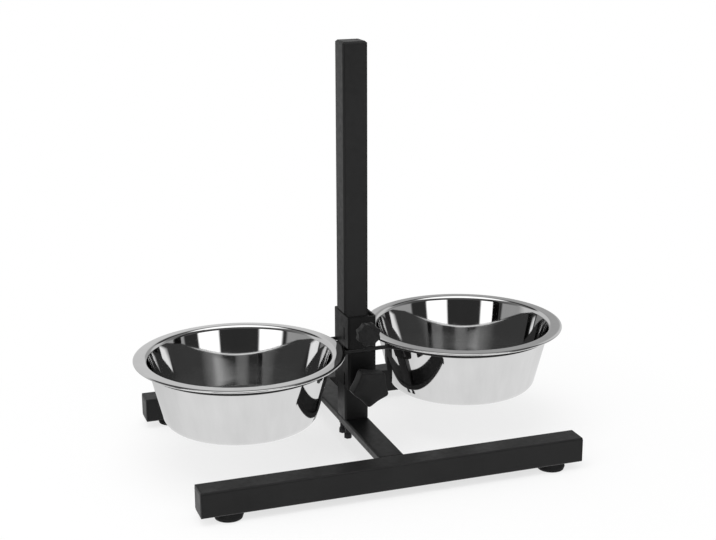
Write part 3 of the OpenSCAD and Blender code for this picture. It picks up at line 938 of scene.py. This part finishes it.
def pale_floor(value):
    """A pale floor that keeps the shadow near the stand and runs out into the white background."""
    finish = Finish("pale_floor")
    finish.set(Roughness=0.9, Specular_IOR_Level=0.1)
    finish.paint(finish.noise(scale=6.0, detail=4.0), value, dark=0.995, light=1.005)
    far = finish.spread(finish.reach(finish.coords), low=0.70, high=1.0, start=0.20, end=0.50)
    rays = finish.node("ShaderNodeLightPath").outputs
    mirrored = finish.math("MAXIMUM", rays["Is Glossy Ray"], rays["Is Transmission Ray"])
    seen = finish.math("MULTIPLY", far, rays["Is Camera Ray"])
    rear = finish.spread(finish.split(finish.coords)[1], low=0.0, high=0.45, start=-0.05, end=0.35)
    dimmed = finish.math("SUBTRACT", 1.0, finish.math("MULTIPLY", rear, mirrored))
    glow = finish.glow("ShaderNodeEmission", WHITE, dimmed)
    mixed = finish.layer(finish.math("MAXIMUM", seen, mirrored), finish.shader.outputs[0], glow)
    finish.link(mixed, finish.out.inputs["Surface"])

    bm = bmesh.new()
    bmesh.ops.create_grid(bm, x_segments=8, y_segments=8, size=6.0)
    floor = stage_mesh("studio_floor", bm, finish)


def soft_lamp(name, place, target, size, power):
    """A large soft lamp that isn't seen in the reflections."""
    data = bpy.data.lights.new(name, "AREA")
    data.shape = "SQUARE"
    data.size = size
    data.energy = power
    lamp = bpy.data.objects.new(name, data)
    bpy.context.scene.collection.objects.link(lamp)
    lamp.location = place
    lamp.rotation_euler = (Vector(target) - Vector(place)).to_track_quat("-Z", "Y").to_euler()
    lamp.visible_glossy = False
    lamp.visible_camera = False


def photo_camera(scene):
    """A camera at the photograph's place, with its lens."""
    data = bpy.data.cameras.new("photo_camera")
    data.sensor_width = SENSOR_MM
    data.lens = FOCAL_PX / PHOTO_PX * SENSOR_MM
    data.clip_start, data.clip_end = 0.05, 50.0
    camera = bpy.data.objects.new("photo_camera", data)
    scene.collection.objects.link(camera)
    aim = Matrix.Rotation(CAMERA_YAW, 4, "Z") @ Matrix.Rotation(math.pi / 2 - CAMERA_PITCH, 4, "X")
    camera.matrix_world = Matrix.Translation(CAMERA_SPOT) @ aim @ Matrix.Rotation(CAMERA_ROLL, 4, "Z")
    scene.camera = camera


class FEEDER_OT_stage(bpy.types.Operator):
    """Sets the floor, the soft light and the camera"""

    bl_idname = "feeder.stage"
    bl_label = "Studio and camera"

    def execute(self, context):
        scene = context.scene
        scene.view_settings.view_transform = "Standard"
        studio_world(scene)
        studio_surround()
        pale_floor(scene.feeder_finishes.floor)
        soft_lamp("overhead_lamp", (-0.5, -0.6, 2.4), target=(0.0, 0.0, 0.1), size=1.8, power=30.0)
        soft_lamp("left_lamp", (-2.0, -1.0, 1.3), target=(0.0, 0.0, 0.15), size=1.4, power=10.0)
        photo_camera(scene)
        return {"FINISHED"}


class FEEDER_PT_sidebar(bpy.types.Panel):
    """Lists the feeder's pieces, sizes and finishes"""

    bl_idname = "FEEDER_PT_sidebar"
    bl_label = "Dog feeder stand"
    bl_space_type = "VIEW_3D"
    bl_region_type = "UI"
    bl_category = "Feeder"

    def draw(self, context):
        layout = self.layout
        for operator in OPERATORS:
            layout.operator(operator.bl_idname)
        for name in GROUPS:
            group = getattr(context.scene, name)
            box = layout.box()
            for key in group.bl_rna.properties.keys():
                if key not in ("rna_type", "name"):
                    box.prop(group, key)


GROUPS = {
    "feeder_bowl": FeederBowlSizes,
    "feeder_wire": FeederWireSizes,
    "feeder_screws": FeederScrewSizes,
    "feeder_finishes": FeederFinishes,
}
OPERATORS = (
    FEEDER_OT_tubes,
    FEEDER_OT_caps_and_feet,
    FEEDER_OT_fastenings,
    FEEDER_OT_clamps,
    FEEDER_OT_screws,
    FEEDER_OT_knobs,
    FEEDER_OT_wire_frame,
    FEEDER_OT_bowls,
    FEEDER_OT_stage,
)


def register():
    for key, group in GROUPS.items():
        bpy.utils.register_class(group)
        setattr(bpy.types.Scene, key, PointerProperty(type=group))
    for cls in (*OPERATORS, FEEDER_PT_sidebar):
        bpy.utils.register_class(cls)


def unregister():
    for cls in (FEEDER_PT_sidebar, *reversed(OPERATORS)):
        bpy.utils.unregister_class(cls)
    for key, group in GROUPS.items():
        delattr(bpy.types.Scene, key)
        bpy.utils.unregister_class(group)


def main():
    register()
    bpy.ops.feeder.tubes()
    bpy.ops.feeder.caps_and_feet()
    bpy.ops.feeder.fastenings()
    bpy.ops.feeder.clamps()
    bpy.ops.feeder.screws()
    bpy.ops.feeder.knobs()
    bpy.ops.feeder.wire_frame()
    bpy.ops.feeder.bowls()
    bpy.ops.feeder.stage()


if __name__ == "__main__":
    main()
